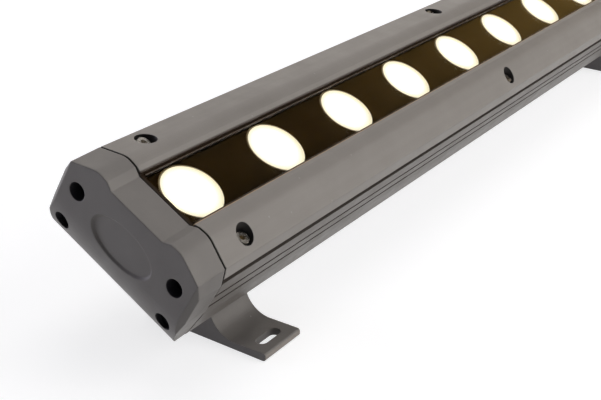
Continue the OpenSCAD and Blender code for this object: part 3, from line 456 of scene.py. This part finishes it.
def mask_plastic():
    """Matt brown moulded polycarbonate with a fine eroded grain, and a warm sheen painted on as the
    light of the lenses beside it.
    """
    material, tree, place = start_material("matt_brown_polycarbonate")
    # The real grain is about 0.1 mm wide and wouldn't show, so it is drawn at 0.8 mm.
    fine = add(tree, "ShaderNodeTexNoise", {"Vector": place, "Scale": LUMP / (0.8 * MM)})
    surface = add(tree, "ShaderNodeBump", {"Height": fine, "Distance": 0.02 * MM})
    rough = add(tree, "ShaderNodeMapRange", {"Value": fine, "To Min": 0.45, "To Max": 0.7})
    cloud = add(tree, "ShaderNodeTexNoise", {"Vector": place, "Scale": LUMP / (9 * MM)})
    cloud = add(tree, "ShaderNodeMapRange", {"Value": cloud, **NOISE_RANGE})
    tone = {0: cloud, 6: linear("#261904"), 7: linear("#2e2008")}
    tone = add(tree, "ShaderNodeMix", tone, 2, data_type="RGBA")
    matt = {"Base Color": tone, "Roughness": rough, "Specular IOR Level": 0.04, "Normal": surface}
    # The warm sheen tint is painted light of the lenses.
    matt.update({"Sheen Weight": 1.0, "Sheen Roughness": 0.4, "Sheen Tint": linear("#efb75c")})
    matt = add(tree, "ShaderNodeBsdfPrincipled", matt)
    add(tree, "ShaderNodeOutputMaterial", {"Surface": matt})
    return material


glass = toughened_glass()
lens = lit_lens()
brown_mask = mask_plastic()


# Rubber and plastics.


def moulded(name, colour, second, rough, grain, depth, shine=0.5):
    """Rubber or plastic from a mould: two close shades, and a grain of that width and depth.

    The real grain of such moulds is about 0.1 mm wide, so each is drawn coarser, to show.
    """
    material, tree, place = start_material(name)
    fine = add(tree, "ShaderNodeTexNoise", {"Vector": place, "Scale": LUMP / grain})
    surface = add(tree, "ShaderNodeBump", {"Height": fine, "Distance": depth})
    fine = {"Value": fine, **NOISE_RANGE, "To Min": rough[0], "To Max": rough[1]}
    fine = add(tree, "ShaderNodeMapRange", fine)
    # The two shades lie in clouds eight grains wide.
    cloud = add(tree, "ShaderNodeTexNoise", {"Vector": place, "Scale": LUMP / (8 * grain)})
    cloud = add(tree, "ShaderNodeMapRange", {"Value": cloud, **NOISE_RANGE})
    tone = {0: cloud, 6: linear(colour), 7: linear(second)}
    tone = add(tree, "ShaderNodeMix", tone, 2, data_type="RGBA")
    skin = {"Base Color": tone, "Roughness": fine, "Specular IOR Level": shine, "Normal": surface}
    skin = add(tree, "ShaderNodeBsdfPrincipled", skin)
    add(tree, "ShaderNodeOutputMaterial", {"Surface": skin})
    return material


# EPDM rubber: nearly black and dull.
rubber = moulded(
    "black_epdm_rubber",
    "#100e0d",
    "#191716",
    rough=(0.62, 0.8),
    grain=0.7 * MM,
    depth=0.03 * MM,
    shine=0.2,
)
# The seal by the glass: the same black rubber, painted brown all over as the warm light of the
# lenses on it.
seal_rubber = moulded(
    "black_epdm_seal_painted_lens_light",
    "#24180c",
    "#302212",
    rough=(0.6, 0.75),
    grain=0.7 * MM,
    depth=0.02 * MM,
    shine=0.15,
)
# Translucent silicone: brown over the dark mask, glossy where it was smoothed.
bead_silicone = moulded(
    "smoothed_silicone_bead",
    "#33220f",
    "#42301b",
    rough=(0.2, 0.3),
    grain=1.5 * MM,
    depth=0.004 * MM,
    shine=0.25,
)
# Polyamide 6: black with a soft sheen and a spark-eroded grain.
nylon = moulded(
    "black_polyamide",
    "#171717",
    "#232323",
    rough=(0.38, 0.52),
    grain=0.6 * MM,
    depth=0.02 * MM,
)
# Aluminium-cored board: white solder mask, slightly uneven.
board = moulded(
    "white_solder_mask_board",
    "#dcd9cd",
    "#e8e5da",
    rough=(0.3, 0.42),
    grain=1.2 * MM,
    depth=0.01 * MM,
)
# Silicone dome with phosphor: deep yellow and glossy.
emitter = moulded(
    "yellow_phosphor_silicone",
    "#e8b93c",
    "#f2cf62",
    rough=(0.12, 0.22),
    grain=0.4 * MM,
    depth=0.004 * MM,
)
# Silicone lead sleeve: red and soft to the eye.
sleeve = moulded(
    "red_silicone_sleeve",
    "#7d1512",
    "#931c17",
    rough=(0.42, 0.58),
    grain=0.5 * MM,
    depth=0.01 * MM,
)
# ABS driver case: light grey with a fine texture.
driver_case = moulded(
    "light_grey_abs",
    "#cfcfca",
    "#dadad5",
    rough=(0.4, 0.55),
    grain=0.8 * MM,
    depth=0.03 * MM,
)
# Gap pad: soft blue-grey silicone with filler grains.
gap_pad = moulded(
    "blue_grey_gap_pad",
    "#6f7f90",
    "#8292a2",
    rough=(0.7, 0.85),
    grain=0.5 * MM,
    depth=0.03 * MM,
)


# Finishes of the CAD pieces. A piece takes the longest of these names that its own starts with.

FINISHES = {
    "extrusion": coated_extrusion,
    "bezel_rail": coated_rail,
    "end_cap": coated_cap,
    "saddle": coated_bracket,
    "foot": coated_bracket,
    "glass": glass,
    "glass_seal": seal_rubber,
    "lens": lens,
    "lens_mask": brown_mask,
    "lens_board": board,
    "emitters": emitter,
    "board_leads": sleeve,
    "driver": driver_case,
    "driver_pad": gap_pad,
    "end_gasket": rubber,
    "gland": nylon,
    "gland_insert": rubber,
    "gland_locknut": steel,
    "bezel_screws": steel,
    "board_screws": steel,
    "end_screws": dark_steel,
    "slot_nut": steel,
    "clamp_screws": steel,
    "pivot_bolt": steel,
    "pivot_nut": steel,
}

for name, piece in nodes.items():
    matches = [key for key in FINISHES if name == key or name.startswith(key + "_")]
    finish = FINISHES[max(matches, key=len)]
    if not piece.material_slots:
        piece.data.materials.append(finish)
    for held in piece.material_slots:
        held.material = finish


# Trim made by Geometry Nodes.


def from_housing(along, across, height):
    """A point given along the light, across it and above the lens plane, in the row frame."""
    rise = LENS_RISE + height
    return Vector(
        (
            along,
            across * math.cos(TILT) - rise * math.sin(TILT),
            PIVOT_Z + across * math.sin(TILT) + rise * math.cos(TILT),
        )
    )


def start_trim(name, inputs):
    """A Geometry Nodes tree with a geometry input, the named inputs and a geometry output."""
    tree = bpy.data.node_groups.new(name, "GeometryNodeTree")
    tree.interface.new_socket("Places", in_out="INPUT", socket_type="NodeSocketGeometry")
    for label, kind in inputs.items():
        tree.interface.new_socket(label, in_out="INPUT", socket_type="NodeSocket" + kind)
    tree.interface.new_socket("Finish", in_out="INPUT", socket_type="NodeSocketMaterial")
    tree.interface.new_socket("Trim", in_out="OUTPUT", socket_type="NodeSocketGeometry")
    return tree, add(tree, "NodeGroupInput").node.outputs


def end_trim(tree, given, made):
    """Makes the result real, gives it the finish and sends it out."""
    made = add(tree, "GeometryNodeRealizeInstances", {"Geometry": made})
    made = add(tree, "GeometryNodeSetMaterial", {"Geometry": made, "Material": given["Finish"]})
    add(tree, "NodeGroupOutput", {"Trim": made})
    return tree


def make_trim(name, body, tree, places, values):
    """Runs the tree on a mesh of places and keeps the result as one plain piece on the body."""
    carrier = bpy.data.objects.new(name, places)
    bpy.context.scene.collection.objects.link(carrier)
    modifier = carrier.modifiers.new("trim", "NODES")
    modifier.node_group = tree
    for socket in tree.interface.items_tree:
        if socket.name in values:
            modifier[socket.identifier] = values[socket.name]
    made = carrier.evaluated_get(bpy.context.evaluated_depsgraph_get())
    mesh = bpy.data.meshes.new_from_object(made)
    bpy.data.objects.remove(carrier)
    bpy.data.meshes.remove(places)
    mesh.name = name
    piece = bpy.data.objects.new(name, mesh)
    bpy.context.scene.collection.objects.link(piece)
    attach(piece, body)


def bead_tree():
    """A round bead along each edge of the mesh, a little uneven as a bead from a gun is."""
    inputs = {"Bead Radius": "Float", "Step": "Float", "Unevenness": "Float"}
    tree, given = start_trim("glazing_bead", inputs)
    path = add(tree, "GeometryNodeMeshToCurve", {"Mesh": given["Places"]})
    cut = {"Curve": path, "Length": given["Step"]}
    path = add(tree, "GeometryNodeResampleCurve", cut, mode="LENGTH")
    # The noise is 0.5 in the middle, so taking that off lets the bead sway to both sides.
    sway = add(tree, "ShaderNodeTexNoise", {"Scale": LUMP / (30 * MM)}, "Color")
    sway = {0: sway, 1: (0.5, 0.5, 0.5)}
    sway = add(tree, "ShaderNodeVectorMath", sway, operation="SUBTRACT")
    sway = {0: sway, "Scale": given["Unevenness"]}
    sway = add(tree, "ShaderNodeVectorMath", sway, operation="SCALE")
    path = add(tree, "GeometryNodeSetPosition", {"Geometry": path, "Offset": sway})
    ring = {"Resolution": 10, "Radius": given["Bead Radius"]}
    ring = add(tree, "GeometryNodeCurvePrimitiveCircle", ring)
    bead = {"Curve": path, "Profile Curve": ring, "Fill Caps": True}
    bead = add(tree, "GeometryNodeCurveToMesh", bead)
    return end_trim(tree, given, bead)


def knurl_tree():
    """A ring of straight ribs at each point of a mesh, turned as its attribute 'turn' says."""
    sizes = {"Head Radius": "Float", "Head Height": "Float", "Rib Radius": "Float", "Ribs": "Int"}
    tree, given = start_trim("screw_head_knurl", sizes)
    ring = {"Vertices": given["Ribs"], "Radius": given["Head Radius"]}
    ring = add(tree, "GeometryNodeMeshCircle", ring)
    # The ribs leave a tenth of the head's height plain at the top and at the bottom.
    height = given["Head Height"]
    length = add(tree, "ShaderNodeMath", {0: height, 1: 0.8}, operation="MULTIPLY")
    middle = add(tree, "ShaderNodeMath", {0: height, 1: 0.5}, operation="MULTIPLY")
    middle = add(tree, "ShaderNodeCombineXYZ", {2: middle})
    rib = {"Vertices": 6, "Radius": given["Rib Radius"], "Depth": length}
    rib = add(tree, "GeometryNodeMeshCylinder", rib)
    rib = add(tree, "GeometryNodeTransform", {"Geometry": rib, "Translation": middle})
    knurl = add(tree, "GeometryNodeInstanceOnPoints", {"Points": ring, "Instance": rib})
    knurl = add(tree, "GeometryNodeRealizeInstances", {"Geometry": knurl})
    turn = {"Name": "turn"}
    turn = add(tree, "GeometryNodeInputNamedAttribute", turn, data_type="FLOAT_VECTOR")
    turn = add(tree, "FunctionNodeEulerToRotation", {0: turn})
    knurl = {"Points": given["Places"], "Instance": knurl, "Rotation": turn}
    knurl = add(tree, "GeometryNodeInstanceOnPoints", knurl)
    return end_trim(tree, given, knurl)


def head_places(seats, way):
    """A mesh with a point at each seat of a screw head, all pointing the same way."""
    places = bpy.data.meshes.new("screw_heads")
    places.from_pydata(seats, [], [])
    turns = places.attributes.new("turn", "FLOAT_VECTOR", "POINT")
    for item in turns.data:
        item.vector = way.to_track_quat("Z", "Y").to_euler()
    return places


# Glazing bead.

bead_places = bpy.data.meshes.new("bead_places")
bead_places.from_pydata(
    [
        from_housing(end * BEAD_END, side * BEAD_ACROSS, BEAD_HEIGHT)
        for side in (-1, 1)
        for end in (-1, 1)
    ],
    [(0, 1), (2, 3)],
    [],
)
bead_sizes = {
    "Bead Radius": BEAD_RADIUS,
    "Step": 12 * MM,
    "Unevenness": 0.25 * MM,
    "Finish": bead_silicone,
}
make_trim("glazing_bead", "housing", bead_tree(), bead_places, bead_sizes)


# Knurls of the screw heads.

knurl = knurl_tree()
upward = from_housing(0, 0, 1) - from_housing(0, 0, 0)
endward = Vector((1, 0, 0))

rail_screw_sizes = {
    "Head Radius": 2.75 * MM,
    "Head Height": 3 * MM,
    "Rib Radius": 0.13 * MM,
    "Ribs": 30,
    "Finish": steel,
}
rail_seats = [
    from_housing(FIRST_LENS + i * RAIL_SCREW_STEP, side * RAIL_SCREW_ACROSS, RAIL_SCREW_SEAT)
    for side in (-1, 1)
    for i in range(RAIL_SCREWS)
]
rail_heads = head_places(rail_seats, upward)
make_trim("rail_screw_knurls", "housing", knurl, rail_heads, rail_screw_sizes)

end_screw_sizes = {
    "Head Radius": 3.5 * MM,
    "Head Height": 4 * MM,
    "Rib Radius": 0.14 * MM,
    "Ribs": 36,
    "Finish": dark_steel,
}
for end, label in ((-1, "near"), (1, "far")):
    end_seats = [
        from_housing(end * END_SCREW_SEAT, side * across, -depth)
        for side in (-1, 1)
        for across, depth in END_SCREW_PLACES
    ]
    end_heads = head_places(end_seats, end * endward)
    name = "end_screw_knurls_" + label
    make_trim(name, "housing", knurl, end_heads, end_screw_sizes)

bracket_screw_sizes = {
    "Head Radius": 4.7 * MM,
    "Head Height": 2.7 * MM,
    "Rib Radius": 0.15 * MM,
    "Ribs": 44,
    "Finish": steel,
}
for label in ("near", "middle", "far"):
    body = "saddle_" + label
    along = PIVOTS["foot_" + label][0]
    clamp_seats = [
        from_housing(along + side * CLAMP_SCREW_ALONG, 0, SADDLE_BOTTOM - LENS_RISE)
        for side in (-1, 1)
    ]
    clamp_heads = head_places(clamp_seats, -upward)
    name = "clamp_screw_knurls_" + label
    make_trim(name, body, knurl, clamp_heads, bracket_screw_sizes)
    pivot_seats = [Vector((along - PIVOT_HEAD_ALONG, 0, PIVOT_Z))]
    pivot_heads = head_places(pivot_seats, -endward)
    name = "pivot_bolt_knurl_" + label
    make_trim(name, body, knurl, pivot_heads, bracket_screw_sizes)


# Studio.


def studio_floor():
    """A wide white paper floor that keeps the object's shadow and glows where it is seen."""
    half = 6
    corners = [(-half, -half, 0), (half, -half, 0), (half, half, 0), (-half, half, 0)]
    mesh = bpy.data.meshes.new("floor")
    mesh.from_pydata(corners, [], [(0, 1, 2, 3)])
    floor = bpy.data.objects.new("floor", mesh)
    bpy.context.scene.collection.objects.link(floor)
    material, tree, _ = start_material("white_paper_floor")
    seen = add(tree, "ShaderNodeLightPath").node.outputs
    glow = seen["Is Camera Ray"]
    for ray in ("Is Glossy Ray", "Is Transmission Ray"):
        glow = add(tree, "ShaderNodeMath", {0: glow, 1: seen[ray]}, operation="MAXIMUM")
    glow = add(tree, "ShaderNodeMath", {0: glow, 1: 0.72}, operation="MULTIPLY")
    paper = add(tree, "ShaderNodeBsdfDiffuse", {"Color": linear("#bcbcbc")})
    white = add(tree, "ShaderNodeEmission", {"Color": linear(WHITE), "Strength": glow})
    both = add(tree, "ShaderNodeAddShader", {0: paper, 1: white})
    add(tree, "ShaderNodeOutputMaterial", {"Surface": both})
    mesh.materials.append(material)


def studio_world():
    """White past the floor, a warm wall with a dark ceiling in reflections, and a dim blue room
    where light comes from."""
    world = bpy.data.worlds.new("studio")
    bpy.context.scene.world = world
    world.use_nodes = True
    tree = world.node_tree
    tree.nodes.clear()
    seen = add(tree, "ShaderNodeLightPath").node.outputs
    way = add(tree, "ShaderNodeTexCoord", out="Generated")
    height = add(tree, "ShaderNodeSeparateXYZ", {0: way}, 2)
    low = add(tree, "ShaderNodeMapRange", {"Value": height, "From Min": 0.16, "From Max": 0.03})
    high = add(tree, "ShaderNodeMapRange", {"Value": height, "From Min": 0.4, "From Max": 0.62})
    wall = {0: high, 6: linear("#7c6534"), 7: linear("#16120a")}
    wall = add(tree, "ShaderNodeMix", wall, 2, data_type="RGBA")
    wall = add(tree, "ShaderNodeMix", {0: low, 6: wall, 7: linear(WHITE)}, 2, data_type="RGBA")
    bent = {0: seen["Is Glossy Ray"], 1: seen["Is Transmission Ray"]}
    bent = add(tree, "ShaderNodeMath", bent, operation="MAXIMUM")
    room = add(tree, "ShaderNodeBackground", {"Color": linear("#dfe4ff"), "Strength": 0.12})
    mirrored = add(tree, "ShaderNodeBackground", {"Color": wall, "Strength": 1.0})
    white = add(tree, "ShaderNodeBackground", {"Color": linear(WHITE), "Strength": 1.0})
    lit = add(tree, "ShaderNodeMixShader", {0: bent, 1: room, 2: mirrored})
    lit = add(tree, "ShaderNodeMixShader", {0: seen["Is Camera Ray"], 1: lit, 2: white})
    add(tree, "ShaderNodeOutputWorld", {"Surface": lit})


def softbox(name, place, aim, size, watts, colour):
    """A square soft light at place, turned to aim."""
    data = bpy.data.lights.new(name, "AREA")
    data.shape = "SQUARE"
    data.size = size
    data.energy = watts
    data.color = linear(colour)[:3]
    lamp = bpy.data.objects.new(name, data)
    lamp.location = place
    lamp.rotation_euler = (Vector(aim) - Vector(place)).to_track_quat("-Z", "Y").to_euler()
    lamp.visible_camera = False
    bpy.context.scene.collection.objects.link(lamp)


studio_floor()
studio_world()
WARM = "#fffcf9"
COOL = "#eaeaff"
softbox("right_softbox", (1.35, -2.3, 1.2), (0, 0, 0), size=2.6, watts=60, colour=WARM)
softbox("rear_softbox", (2.1, 1.7, 1.7), (-0.1, 0, 0), size=3.0, watts=30, colour=WARM)
softbox("overhead", (0.1, -0.2, 3.0), (0, 0, 0), size=2.0, watts=25, colour=WARM)
softbox("left_softbox", (-1.3, 2.1, 0.4), (-0.45, 0, 0), size=0.8, watts=16, colour=COOL)

bpy.context.scene.view_settings.view_transform = "Standard"
